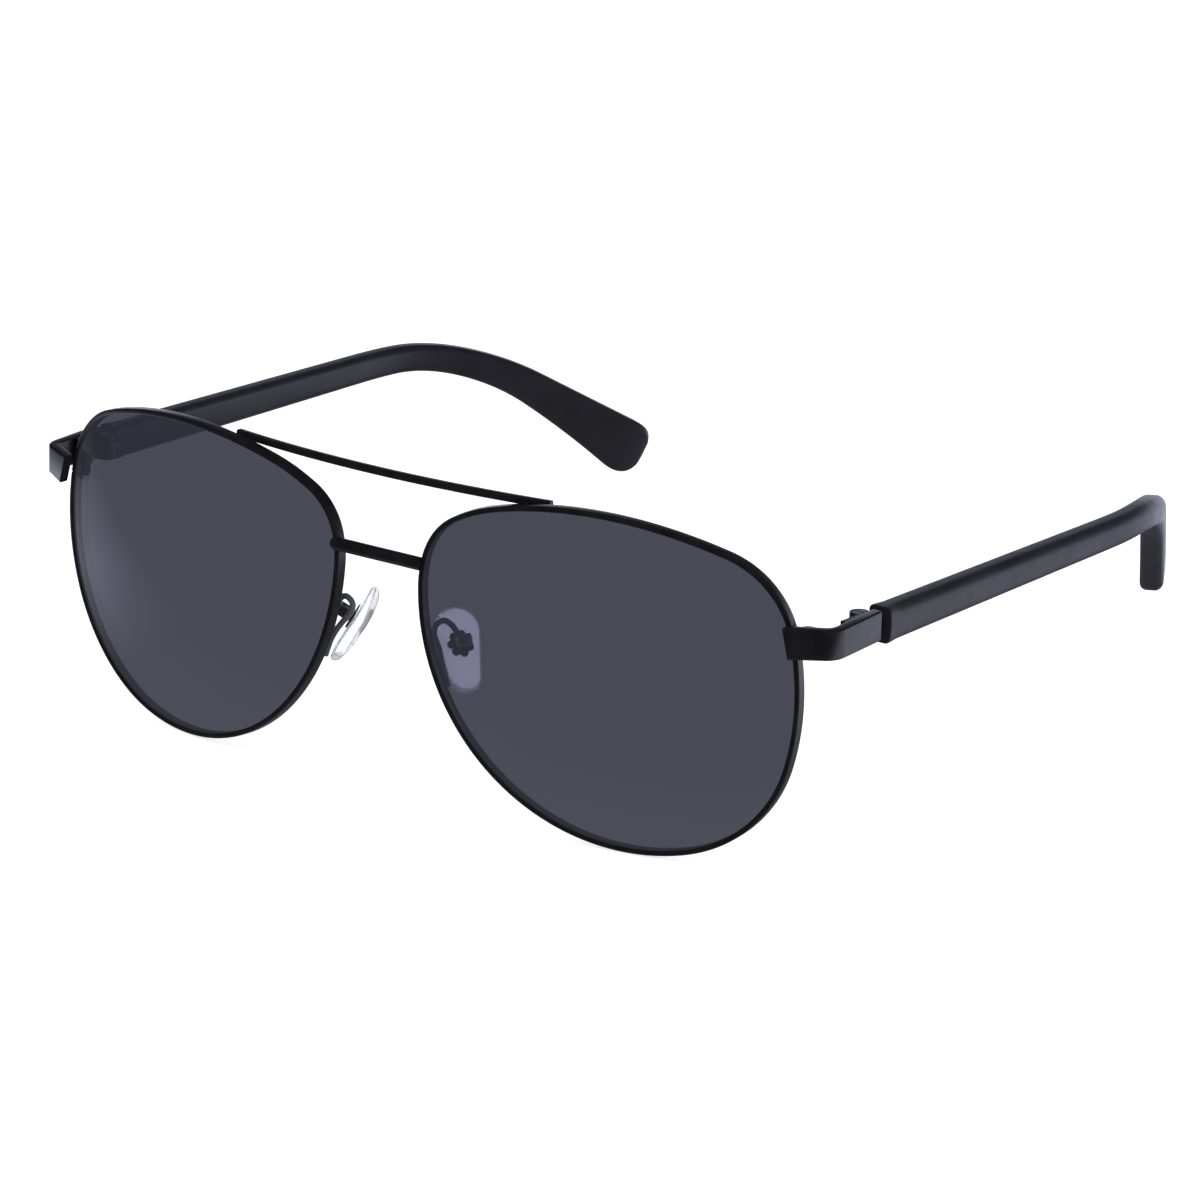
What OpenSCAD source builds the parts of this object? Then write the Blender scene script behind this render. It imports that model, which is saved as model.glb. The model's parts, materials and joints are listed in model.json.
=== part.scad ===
// Full-rim metal aviator sunglasses, temples open.
// Millimetres. +X is the wearer's left, +Y points back along the temples, +Z is up.
// The origin is just above the middle of the bridge bar, on the frame's mirror plane.
// Every piece is drawn on the wearer's left; right-hand pieces are its mirror image.

/* [Lenses] */
// Sideways distance from the mirror plane to each lens's optical centre
lens_x = 37; // [34:0.5:40]
// Height of the optical centre below the bridge
lens_drop = 8; // [6:0.5:10]
// Radius of the lens curve
lens_curve = 86.6; // [80:0.2:120]
// Lens thickness
lens_t = 1.1; // [0.9:0.1:1.4]
// Face wrap: how far each lens turns back at its outer edge, in degrees
wrap = 7.4; // [5:0.2:9]
// Forward lean of the top of each lens, in degrees
lean = 0.9; // [0:0.1:2]

/* [Rims] */
// Width of the rim wire, seen from the front
rim_w = 0.8; // [0.8:0.05:1]
// Depth of the rim wire, front to back
rim_d = 1.8; // [1.8:0.05:2]
// Depth of the groove that holds the lens edge
groove = 0.35; // [0.3:0.05:0.35]

/* [Bridge and brow bar] */
// Diameter of the bridge bar
bridge_d = 2; // [1.6:0.1:2.4]
// Half the length of the brow bar
brow_half = 29.2; // [27:0.2:31]
// Height of the brow bar above the bridge
brow_z = 12; // [11.9:0.1:13]
// Thickness of the brow bar
brow_d = 1.15; // [0.8:0.05:1.3]
// How far the middle of the brow bar bows forward
brow_bow = 2.6; // [2:0.1:3]

/* [End pieces and hinges] */
// Half of the overall width, at the outside of the end pieces
half_w = 74.3; // [74:0.1:75]
// Height of the end piece
end_h = 4.4; // [4:0.1:4.8]
// Thickness of the end piece's front and side
end_t = 1.75; // [1.6:0.05:1.8]
// How far back the end piece reaches
end_back = 20.9; // [20.4:0.1:21]
// Outside radius of the hinge barrel
barrel_r = 1.45; // [1.3:0.05:1.5]
// Radius of the hinge screw
pin_r = 0.55; // [0.4:0.05:0.6]

/* [Temples] */
// Length of each temple along its top edge, from its front end to its tip
temple_len = 122.5; // [118:0.5:130]
// Thickness of the temple
temple_t = 3.9; // [3.6:0.05:4]
// Height of the temple at its front
temple_h = 5.4; // [4.8:0.1:5.6]
// Height of the temple at the ear bend
waist_h = 4.4; // [3.8:0.05:4.6]
// Height of the paddle at the tip
paddle_h = 10.3; // [8:0.1:10.5]
// Where the ear bend starts, measured along the temple
drop_from = 69; // [64:1:72]
// Radius of the ear bend
drop_r = 59.5; // [55:0.5:75]
// Angle of the ear bend, in degrees
drop_a = 28.8; // [25:0.2:35]
// Where the temple starts to curve in towards the head
hug_from = 58; // [56:1:66]
// Length over which it curves in
hug_run = 30; // [20:1:35]
// Angle through which it curves in, in degrees
hug_a = 30; // [20:1:32]

/* [Nose pads] */
// Length of a pad
pad_h = 12.6; // [11:0.2:13]
// Width of a pad
pad_w = 7.2; // [6.4:0.2:7.6]
// Thickness of a pad
pad_t = 2; // [1.8:0.1:2.4]
// Diameter of the pad arm's wire
wire_d = 0.9; // [0.7:0.05:1]

/* [Hidden] */
$fn = 48;

gap = 0.05;          // running clearance between pieces that fit together
eps = 0.01;          // overlap that keeps cuts clean
deep = 20;           // half the depth of a cut that goes right through
lens_y = -0.4;       // the lens's front-to-back place, relative to the bridge

// Lens outline, as a closed chain of tangent arcs through the middle of the rim wire.
// The chain starts above the temporal corner and runs over the nose side to the bottom.
// The top arc and the temporal arc take whatever radius closes the chain.
top_arc = 0;
side_arc = 6;
arc_from = 72;                                  // direction the outline faces at its start
arc_start = [21.4, 17.3];                        // where the outline starts
arc_sweep = [33, 15, 44, 18, 102, 59, 30, 59];  // degrees turned by each arc
arc_given = [0, 30.85, 10.75, 15, 34.9, 22.6, 0, 14.9];
arcs = len(arc_sweep);
function unit(a) = [cos(a), sin(a)];
arc_a = [for (i = 0, a = arc_from; i <= arcs; a = a + (i < arcs ? arc_sweep[i] : 0), i = i + 1) a];
function turn(k) = unit(arc_a[k + 1]) - unit(arc_a[k]);
function sum(v, i = 0) = i == len(v) - 1 ? v[i] : v[i] + sum(v, i + 1);
arc_rest = -sum([for (k = [0 : arcs - 1]) arc_given[k] * turn(k)]);
arc_det = cross(turn(top_arc), turn(side_arc));
top_r = cross(arc_rest, turn(side_arc)) / arc_det;
side_r = cross(turn(top_arc), arc_rest) / arc_det;
arc_r = [for (k = [0 : arcs - 1]) k == top_arc ? top_r : k == side_arc ? side_r : arc_given[k]];
arc_p = [for (i = 0, p = arc_start; i <= arcs; p = p + (i < arcs ? arc_r[i] * turn(i) : [0, 0]),
    i = i + 1) p];
function wrapped(a) = a < arc_from ? a + 360 : a >= arc_from + 360 ? a - 360 : a;
function arc_of(a, k = 0) = k == arcs - 1 || a < arc_a[k + 1] ? k : arc_of(a, k + 1);
// Point of the outline whose outward direction is a, moved outwards by out
function edge_at(a, k, out) = arc_p[k] + arc_r[k] * (unit(a) - unit(arc_a[k])) + out * unit(a);
function edge(a, out = 0) = edge_at(wrapped(a), arc_of(wrapped(a)), out);
function sag(p) = lens_curve - sqrt(lens_curve * lens_curve - p * p);

// The rim wire is split on the temple side, where the closing block joins its two ends
split_a = 11.5;
split_gap = 0.2;
rim_n = 96;
lens_slack = 0.17;   // free depth on each face of the lens, in its groove
lens_inset = 0.1;    // free height between the lens's edge and the groove's bottom

module place_lens() {
    translate([lens_x, lens_y, -lens_drop]) rotate([lean, 0, wrap]) children();
}
module right() {
    mirror([1, 0, 0]) children();
}

// Two triangles of wall between a ring of m points that starts at point b and the next ring.
// Rings run anticlockwise when seen from the far end of the path.
function quad(b, j, m) = let (p = b + j, q = b + (j + 1) % m) [[p, q + m, q], [p, p + m, q + m]];
function up_to(n, b = 0) = [for (j = [0 : n - 1]) b + j];
function flip(f) = [for (j = [len(f) - 1 : -1 : 0]) f[j]];

// A solid through equal rings of points, capped at both ends
module loft(rings) {
    m = len(rings[0]);
    last = len(rings) - 1;
    wall = [for (i = [0 : last - 1], j = [0 : m - 1]) each quad(i * m, j, m)];
    polyhedron([for (r = rings) each r], concat([up_to(m)], [flip(up_to(m, last * m))], wall),
        convexity = 6);
}

// Section of the rim wire: [outwards, backwards] from its middle, with the lens groove inside
function rim_section() =
    let (w = rim_w / 2, d = rim_d / 2, g = lens_t / 2 + lens_slack, c = 0.3, lip = 0.12)
    [[w, c - d], [w, d - c], [w - c, d], [lip - w, d], [-w, d - lip], [-w, g], [groove - w, g],
        [groove - w, -g], [-w, -g], [-w, lip - d], [lip - w, -d], [w - c, -d]];

function rim_ring(a) =
    let (o = edge(a), mid = edge(a, (groove - rim_w) / 2), back = sag(mid))
    [for (s = rim_section()) [o[0] + s[0] * cos(a), back + s[1], o[1] + s[0] * sin(a)]];

module rim_left() {
    color("#17171b") place_lens()
    loft([for (i = [0 : rim_n]) rim_ring(split_a + split_gap + i * (360 - 2 * split_gap) / rim_n)]);
}

// The lens outline, moved outwards by out, as a prism that runs front to back
module outline_prism(out, depth = deep) {
    rotate([90, 0, 0]) linear_extrude(2 * depth, center = true)
    polygon([for (i = [0 : rim_n - 1]) edge(split_a + (i + 0.5) * 360 / rim_n, out)]);
}

module lens_left() {
    color("#4c4c58", 0.85) place_lens()
    intersection() {
        outline_prism(-rim_w / 2 + groove - lens_inset);
        translate([0, lens_curve, 0])
        difference() {
            sphere(lens_curve + lens_t / 2, $fn = 240);
            sphere(lens_curve - lens_t / 2, $fn = 240);
        }
    }
}

// The bridge bar is cut off against the outside of both rims
bridge_stock = 24;   // length of the bar before it is cut
bridge_z = -0.3;
module bridge() {
    color("#17171b")
    difference() {
        translate([0, 0, bridge_z]) rotate([0, 90, 0])
        cylinder(h = bridge_stock, d = bridge_d, center = true);
        place_lens() outline_prism(rim_w / 2 + gap);
        right() place_lens() outline_prism(rim_w / 2 + gap);
    }
}

// The brow bar lies on the back of both rims and bows forward between them
brow_y = 2.95;       // how far back its ends lie
module brow_bar() {
    bend_r = (brow_half * brow_half + brow_bow * brow_bow) / (2 * brow_bow);
    reach = asin(brow_half / bend_r);
    color("#17171b")
    translate([0, brow_y - brow_bow + bend_r, brow_z])
    rotate([0, 0, -90 - reach])
    rotate_extrude(angle = 2 * reach, $fn = 720)
    translate([bend_r, 0]) square(brow_d, center = true);
}

// End piece: a thick plate that leaves the outside of the rim and bends back to the temple
end_x = 67;          // inner end of the plate before it is cut against the rim
end_y = 6.4;         // front face of the plate at its inner end
end_out_a = 25;      // direction in which the plate leaves the rim, in degrees
end_z = -1.6;        // middle of its height at the inner end
end_rise = 0.8;      // how much higher its back end is
bend_out = 3.2;      // outside radius of its bend
bend_x = half_w - bend_out;
bend_y = end_y + (bend_x - end_x) * tan(end_out_a) + bend_out / cos(end_out_a);
module end_plan() {
    across = unit(end_out_a + 90);
    front = [end_x, end_y];
    bend = [bend_x, bend_y];
    difference() {
        union() {
            polygon([front, bend - bend_out * across, bend, front + bend_out * across]);
            translate(bend) circle(bend_out);
            translate(bend) square([bend_out, end_back - bend_y]);
        }
        polygon([front + end_t * across, bend - (bend_out - end_t) * across, bend,
            front + 2 * bend_out * across]);
        translate(bend) circle(bend_out - end_t);
        translate([end_x, bend_y]) square([half_w - end_t - end_x, end_back - bend_y + eps]);
    }
}
module end_side() {
    half = [0, end_h / 2];
    front = [end_y, end_z];
    back = [end_back, end_z + end_rise];
    past = (back - front) / 10;
    polygon([front - past - half, front - past + half, back + past + half, back + past - half]);
}
module endpiece_left() {
    color("#1c1c22")
    difference() {
        intersection() {
            linear_extrude(2 * deep, center = true) end_plan();
            translate([half_w, 0, 0]) rotate([90, 0, 90])
            linear_extrude(2 * deep, center = true) end_side();
        }
        place_lens() outline_prism(rim_w / 2 + gap);
    }
}

// Closing block: two halves behind the rim, drawn together by a screw to grip the lens
block_x = 67.9;
block_y = 12;
block_z = -1.6;      // height of the joint between its halves
block_top = [1.1, 1.2];      // height and radius of the upper half
block_low = [1.4, 0.8];      // height and radius of the lower half
block_foot = 1.5;    // how far in front of its screw it meets the rim
block_screw_r = 0.45;
block_head_r = 0.75;
block_head_h = 0.4;
module block_half(size) {
    difference() {
        union() {
            cylinder(h = size[0], r = size[1]);
            translate([0, -size[1], 0]) cube([size[1], 2 * size[1], size[0]]);
            translate([-size[1], -block_foot, 0]) cube([size[1], block_foot, size[0]]);
        }
        translate([0, 0, -eps]) cylinder(h = size[0] + 2 * eps, r = block_screw_r + gap);
    }
}
module closing_block_upper_left() {
    color("#131316") translate([block_x, block_y, block_z + gap]) block_half(block_top);
}
module closing_block_lower_left() {
    color("#131316") translate([block_x, block_y, block_z - gap]) mirror([0, 0, 1])
    block_half(block_low);
}
// The closing screw goes in from below
module closing_screw_left() {
    color("#2b2b2e") translate([block_x, block_y, block_z]) mirror([0, 0, 1]) {
        translate([0, 0, -block_top[0]])
        cylinder(h = block_top[0] + block_low[0] + 3 * gap, r = block_screw_r);
        screw_head(block_low[0] + 2 * gap, block_head_r, block_head_h);
    }
}
// A slotted screw head standing on height z
module screw_head(z, r, h) {
    slot = r / 3;
    difference() {
        translate([0, 0, z]) cylinder(h = h, r = r);
        translate([0, 0, z + h]) cube([3 * r, slot, h], center = true);
    }
}

// Hinge: two knuckles on the end piece, one on the temple, all on one upright screw
hinge_x = 71;
hinge_y = 19.9;
hinge_low = -3.05;   // underside of the lowest knuckle
knuckle = 1.26;      // height of one knuckle
play = 0.06;         // free height between knuckles
function knuckle_z(i) = hinge_low + i * (knuckle + play);
barrel_top = knuckle_z(2) + knuckle;
head_h = 0.45;
head_r = 1.0;
leaf_t = 0.95;       // thickness of the leaf that is soldered to the end piece
leaf_len = 5.5;      // how far in front of the screw the leaf starts
web_y = 1.3;         // how far in front of the screw each knuckle's web starts
sweep_gap = 0.2;     // free space round the temple's knuckle as it turns
module at_hinge() {
    translate([hinge_x, hinge_y, 0]) children();
}
module hinge_bore() {
    cylinder(h = deep, r = pin_r + gap, center = true);
}
module hinge_front_left() {
    leaf_x = half_w - end_t - gap - leaf_t - hinge_x;
    color("#101013") at_hinge()
    difference() {
        union() {
            for (i = [0, 2]) translate([0, 0, knuckle_z(i)]) {
                cylinder(h = knuckle, r = barrel_r);
                translate([0, -web_y, 0]) cube([leaf_x + leaf_t, web_y, knuckle]);
                translate([leaf_x, -leaf_len, 0]) cube([leaf_t, leaf_len, knuckle]);
            }
            translate([leaf_x, -leaf_len, hinge_low])
            cube([leaf_t, leaf_len - barrel_r - sweep_gap, barrel_top - hinge_low]);
        }
        hinge_bore();
        translate([0, 0, barrel_top - head_h]) cylinder(h = deep, r = head_r + gap);
    }
}
module hinge_screw_left() {
    color("#3a3a3e") at_hinge() {
        translate([0, 0, hinge_low + gap])
        cylinder(h = barrel_top - hinge_low - gap - head_h, r = pin_r);
        screw_head(barrel_top - head_h, head_r, head_h);
    }
}
// The knuckle's neck runs back and then sideways to a tang that sits in the temple's channel
neck_x = -1.1;       // inner side of the neck
neck_w = 1.5;
neck_stop = 0.3;     // free space between the neck and the temple's front end
cross_y = 1;         // front-to-back size of the part that runs sideways
tang_out = 0.5;      // how far the tang stands out of its channel
tang_len = 6;
module hinge_temple_left() {
    tang = [core_t - 4 * gap, tang_len, core_h - 4 * gap];
    arm_x = temple_c[0] - hinge_x;
    arm_y = temple_y - hinge_y;
    color("#101013") at_hinge()
    difference() {
        union() {
            translate([0, 0, knuckle_z(1)]) {
                cylinder(h = knuckle, r = barrel_r);
                translate([neck_x, 0, 0]) cube([neck_w, arm_y - neck_stop, knuckle]);
                translate([neck_x, arm_y - neck_stop - cross_y, 0])
                cube([arm_x + tang[0] / 2 - neck_x, cross_y, knuckle]);
            }
            translate([arm_x - tang[0] / 2, arm_y - tang_out, temple_c[2] - tang[2] / 2]) cube(tang);
        }
        hinge_bore();
    }
}

// Temple: a tapering bar that runs straight back, then drops and curves in behind the ear
temple_x = half_w + 0.45;
temple_y = 22.4;     // front end of the temple
temple_top = 1.45;   // height of its top edge
toe_in = 0.4;        // angle towards the head before it curves in, in degrees
temple_n = 48;       // number of steps along it
round_r = 1;         // radius of its long edges
tip_r = 5;           // length of the rounded end
tip_thin = 0.55;     // thickness of the very end, as a share of the temple's
core_h = 1.9;        // height of the core wire
core_t = 1.1;        // thickness of the core wire
core_r = 0.3;        // radius of its long edges
core_gap = 0.1;      // free space round it in its channel
core_from = 7;       // where it starts, behind the tang
core_len = temple_len - 14;
flare = 2.4;         // how late the paddle widens: the power of its growth in height
function ramp(s, from, run) = min(1, max(0, (s - from) / run));
function smooth(u) = u * u * (3 - 2 * u);
function yaw(s) = toe_in + (hug_a - toe_in) * smooth(ramp(s, hug_from, hug_run));
function drop(s) = drop_a * ramp(s, drop_from, drop_r * drop_a * PI / 180);
function ahead(s) = [-sin(yaw(s)) * cos(drop(s)), cos(yaw(s)) * cos(drop(s)), -sin(drop(s))];
function side(s) = [cos(yaw(s)), sin(yaw(s)), 0];
function upward(s) = cross(side(s), ahead(s));
function height(s) = s < drop_from
    ? temple_h + (waist_h - temple_h) * s / drop_from
    : waist_h + (paddle_h - waist_h) * pow((s - drop_from) / (temple_len - drop_from), flare);
temple_step = temple_len / temple_n;
// Points along the outer top edge, and the middle of the section at each one
top_edge = [for (i = 0, p = [temple_x, temple_y, temple_top]; i <= temple_n;
    p = p + temple_step * ahead((i + 0.5) * temple_step), i = i + 1) p];
function middle(i) = let (s = i * temple_step)
    top_edge[i] - upward(s) * height(s) / 2 - side(s) * temple_t / 2;
temple_c = middle(0);
// A rounded rectangle, h high and t thick, with three points on each corner
function rounded(h, t, r) = [for (q = [0 : 3], k = [0 : 2]) let (a = q * 90 + k * 45,
    sx = q == 0 || q == 3 ? -1 : 1, sz = q < 2 ? 1 : -1)
    [sx * (t / 2 - r) - r * cos(a), sz * (h / 2 - r) + r * sin(a)]];
function ring_at(i, shape) = let (s = i * temple_step)
    [for (q = shape) middle(i) + q[0] * side(s) + q[1] * upward(s)];
// The end of the temple narrows as a half ellipse
function tip_k(s) = s < temple_len - tip_r ? 1
    : sqrt(max(0.02, 1 - pow((s - temple_len + tip_r) / tip_r, 2)));
function temple_ring(i) = let (s = i * temple_step, k = tip_k(s), h = height(s) * k,
    t = temple_t * (tip_thin + (1 - tip_thin) * k))
    ring_at(i, rounded(h, t, min(round_r, 0.45 * h)));
function core_ring(i, grow) =
    ring_at(i, rounded(core_h + 2 * grow, core_t + 2 * grow, core_r + grow));
core_n = floor(core_len / temple_step);

// The temple has a blind channel along its middle for the core wire
module temple_left() {
    outer = [for (i = [0 : temple_n]) temple_ring(i)];
    inner = [for (i = [0 : core_n]) core_ring(i, core_gap)];
    m = 12;
    base = len(outer) * m;
    points = [for (r = concat(outer, inner)) each r];
    front = [for (j = [0 : m - 1]) let (k = (j + 1) % m)
        each [[j, k, base + k], [j, base + k, base + j]]];
    skin = [for (i = [0 : temple_n - 1], j = [0 : m - 1]) each quad(i * m, j, m)];
    tip = flip(up_to(m, temple_n * m));
    bore = [for (i = [0 : core_n - 1], j = [0 : m - 1], f = quad(base + i * m, j, m)) flip(f)];
    end = up_to(m, base + core_n * m);
    color("#26262e") polyhedron(points, concat(front, skin, [tip], bore, [end]), convexity = 8);
}

module temple_core_left() {
    first = ceil(core_from / temple_step);
    color("#8c8c90") loft([for (i = [first : core_n - 1]) core_ring(i, 0)]);
}

// Nose pads: each pad's frame has X across it, Y from its face to its arm and Z along it
pad_at = [9.9, 7.0, -14.4];
pad_turn = [31, 0, -120];
pad_taper = 0.72;    // width of its lower end, as a share of its upper end's
pad_crown = 0.7;     // width of the slope round its face
pivot_y = 2.35;      // height of the rocking pin above the middle of the pad
pivot_z = 0.7;       // and its place along the pad
pad_pin_r = 0.4;
lug_w = 1.1;         // width of the pad's lug
lug_r = 0.75;        // radius of its round end
cheek = 0.3;         // thickness of each side of the box that holds the lug
box_w = lug_w + 2 * gap + 2 * cheek;
box_h = 1.7;
box_d = 2.1;
box_lift = 0.4;      // free height between the pad's back and the box
floor_lift = 3.15;   // height of the inside of the box's floor above the middle of the pad
module place_pad() {
    translate(pad_at) rotate(pad_turn) children();
}
module at_pivot() {
    translate([0, pivot_y, pivot_z]) rotate([0, 90, 0]) children();
}
module nose_pad_left() {
    top_r = pad_w / 2;
    low_r = top_r * pad_taper;
    color("#e8eaf0", 0.5) place_pad()
    difference() {
        hull() for (e = [[top_r, pad_h / 2 - top_r], [low_r, low_r - pad_h / 2]]) {
            translate([0, 0, e[1]]) rotate([-90, 0, 0]) cylinder(h = pad_t / 2, r = e[0], $fn = 32);
            translate([0, -pad_t / 2, e[1]]) rotate([-90, 0, 0])
            cylinder(h = pad_t, r = e[0] - pad_crown, $fn = 32);
        }
        translate([0, pad_t / 2 - insert_t - gap, pivot_z]) rotate([-90, 0, 0])
        cylinder(h = pad_t, r = insert_r + gap);
    }
}
// Insert: a scalloped disc moulded into the pad, with a lug for the pin
insert_t = 0.7;
insert_r = 2.05;
lobe_r = 0.55;
lobes = 7;
module pad_insert_left() {
    color("#33343a") place_pad()
    difference() {
        union() {
            translate([0, pad_t / 2 - insert_t, pivot_z]) rotate([-90, 0, 0]) {
                cylinder(h = insert_t, r = insert_r - lobe_r);
                for (k = [0 : lobes - 1]) rotate(k * 360 / lobes)
                translate([insert_r - lobe_r, 0, 0])
                cylinder(h = insert_t, r = lobe_r, $fn = 24);
            }
            translate([-lug_w / 2, pad_t / 2 - eps, pivot_z - lug_r])
            cube([lug_w, pivot_y - pad_t / 2 + eps, 2 * lug_r]);
            at_pivot() cylinder(h = lug_w, r = lug_r, center = true);
        }
        at_pivot() cylinder(h = deep, r = pad_pin_r + gap, center = true);
    }
}
pad_head_r = 0.65;
pad_head_h = 0.3;
module pad_screw_left() {
    color("#3a3a3e") place_pad() at_pivot() {
        cylinder(h = box_w + 2 * gap, r = pad_pin_r, center = true);
        screw_head(box_w / 2 + gap, pad_head_r, pad_head_h);
    }
}
// Arm: a wire soldered to the back of the rim that loops up and over to the pad's box
arm_path = [[11.6, 2.25, -18.6], [10.4, 2.3, -15.6], [9.2, 2.9, -13.4], [7.9, 3.4, -11.7],
    [7.9, 3.9, -10.3], [9.2, 4.1, -9.5], [10.5, 4.35, -10.05], [11.6, 4.62, -11.28],
    [12.33, 5.6, -11.78]];
arm_steps = 6;
function spline(a, b, c, d, t) = 0.5 * (2 * b + (c - a) * t + (2 * a - 5 * b + 4 * c - d) * t * t
    + (3 * b - a - 3 * c + d) * t * t * t);
function clamp_i(i) = min(len(arm_path) - 1, max(0, i));
function arm_at(u) = let (i = min(len(arm_path) - 2, floor(u)))
    spline(arm_path[clamp_i(i - 1)], arm_path[i], arm_path[i + 1], arm_path[clamp_i(i + 2)], u - i);
function normal(v) = v / norm(v);
function arm_ahead(u) =
    normal(arm_at(min(u + 0.02, len(arm_path) - 1)) - arm_at(max(u - 0.02, 0)));
arm_side = [0.6, -0.8, 0.1];    // a direction that the wire never takes
wire_n = 10;                    // points round the wire
function arm_ring(u) =
    let (t = arm_ahead(u), n = normal(cross(t, arm_side)), b = cross(t, n))
    [for (k = [0 : wire_n - 1]) let (a = k * 360 / wire_n)
        arm_at(u) + wire_d / 2 * (cos(a) * n + sin(a) * b)];
module pad_arm_left() {
    color("#131316") {
        loft([for (k = [0 : arm_steps * (len(arm_path) - 1)]) arm_ring(k / arm_steps)]);
        place_pad()
        difference() {
            translate([-box_w / 2, pad_t / 2 + box_lift, pivot_z - box_h / 2])
            cube([box_w, box_d, box_h]);
            translate([-lug_w / 2 - gap, 0, pivot_z - box_h])
            cube([lug_w + 2 * gap, floor_lift, 2 * box_h]);
            at_pivot() cylinder(h = deep, r = pad_pin_r + gap / 2, center = true);
        }
    }
}

rim_left();
right() rim_left();  // rim_right
lens_left();
right() lens_left();  // lens_right
bridge();
brow_bar();
endpiece_left();
right() endpiece_left();  // endpiece_right
closing_block_upper_left();
right() closing_block_upper_left();  // closing_block_upper_right
closing_block_lower_left();
right() closing_block_lower_left();  // closing_block_lower_right
closing_screw_left();
right() closing_screw_left();  // closing_screw_right
hinge_front_left();
right() hinge_front_left();  // hinge_front_right
hinge_screw_left();
right() hinge_screw_left();  // hinge_screw_right
hinge_temple_left();
right() hinge_temple_left();  // hinge_temple_right
temple_left();
right() temple_left();  // temple_right
temple_core_left();
right() temple_core_left();  // temple_core_right
pad_arm_left();
right() pad_arm_left();  // pad_arm_right
pad_screw_left();
right() pad_screw_left();  // pad_screw_right
pad_insert_left();
right() pad_insert_left();  // pad_insert_right
nose_pad_left();
right() nose_pad_left();  // nose_pad_right
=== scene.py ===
"""Looks of the aviator sunglasses: smooth pieces round the CAD frame, materials, stage and camera.

Lengths are in millimetres in the CAD frame (+X the wearer's left, +Y back, +Z up) until a mesh is
written. Pieces are shaped for the wearer's left side, and the right side is their mirror image.
"""

import json
import math

import bpy
from mathutils import Matrix, Vector


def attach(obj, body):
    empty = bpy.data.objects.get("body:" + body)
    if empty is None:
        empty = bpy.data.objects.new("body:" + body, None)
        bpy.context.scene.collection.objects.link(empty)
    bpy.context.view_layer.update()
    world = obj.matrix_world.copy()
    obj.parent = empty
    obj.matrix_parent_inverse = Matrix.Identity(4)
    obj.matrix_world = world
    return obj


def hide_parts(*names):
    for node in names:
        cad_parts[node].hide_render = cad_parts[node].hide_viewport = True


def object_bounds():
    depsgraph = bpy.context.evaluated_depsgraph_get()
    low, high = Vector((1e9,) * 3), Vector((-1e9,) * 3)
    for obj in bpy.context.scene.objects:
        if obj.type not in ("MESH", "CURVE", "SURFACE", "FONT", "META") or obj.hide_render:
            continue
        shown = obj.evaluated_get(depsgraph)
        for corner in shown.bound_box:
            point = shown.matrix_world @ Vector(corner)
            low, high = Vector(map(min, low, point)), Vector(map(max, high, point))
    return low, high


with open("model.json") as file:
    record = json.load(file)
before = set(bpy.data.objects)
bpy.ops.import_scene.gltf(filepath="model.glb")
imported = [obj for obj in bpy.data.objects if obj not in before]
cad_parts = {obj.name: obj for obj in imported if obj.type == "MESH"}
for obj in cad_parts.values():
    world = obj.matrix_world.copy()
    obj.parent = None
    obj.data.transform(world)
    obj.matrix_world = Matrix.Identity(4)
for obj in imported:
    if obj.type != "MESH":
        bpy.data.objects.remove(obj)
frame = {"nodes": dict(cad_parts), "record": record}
cad_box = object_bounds()

MM = 0.001
SIDES = (("left", 1), ("right", -1))

# ---------------------------------------------------------------- sizes, as in the CAD model
LENS_X, LENS_Y, LENS_DROP = 37, -0.4, 8
LENS_CURVE, LENS_T = 86.6, 1.1
WRAP, LEAN = math.radians(7.4), math.radians(0.9)
RIM_W, RIM_D, GROOVE = 0.8, 1.8, 0.35
GROOVE_PLAY, LENS_PLAY = 0.17, 0.1    # room for the lens before and behind it, and at the bottom
ARC_FROM, ARC_START = 72, (21.4, 17.3)
ARC_SWEEP = (33, 15, 44, 18, 102, 59, 30, 59)
ARC_GIVEN = (0, 30.85, 10.75, 15, 34.9, 22.6, 0, 14.9)
TOP_ARC, SIDE_ARC = 0, 6
SPLIT_A, SPLIT_GAP = 11.5, 0.2

BRIDGE_R, BRIDGE_Z = 1.0, -0.3
BRIDGE_SHORT, BRIDGE_LAP = 0.2, 0.32    # short of the rim's middle line, and further on over its front
BROW_HALF, BROW_Y, BROW_Z, BROW_BOW, BROW_D = 29.2, 2.95, 12, 2.6, 1.15

HALF_W = 74.3
END_X, END_Y, END_Z, END_RISE = 67, 6.4, -1.6, 0.8
END_OUT_A, BEND_OUT = math.radians(25), 3.2
END_H, END_T, END_BACK = 4.4, 1.75, 20.9
END_INTO_RIM, END_EDGE = 0.15, 0.3    # where its inner end stops in the rim, and its soft edges

TEMPLE_LEN, TEMPLE_T = 122.5, 3.9
TEMPLE_H, WAIST_H, PADDLE_H, FLARE = 5.4, 4.4, 10.3, 2.4
TEMPLE_X, TEMPLE_Y, TEMPLE_TOP = 74.75, 22.4, 1.45
TEMPLE_TIP = 5.5    # length over which the end rounds off
DROP_FROM, DROP_R, DROP_A = 69, 59.5, math.radians(28.8)
HUG_FROM, HUG_RUN, HUG_A, TOE_IN = 58, 30, math.radians(30), math.radians(0.4)

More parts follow.
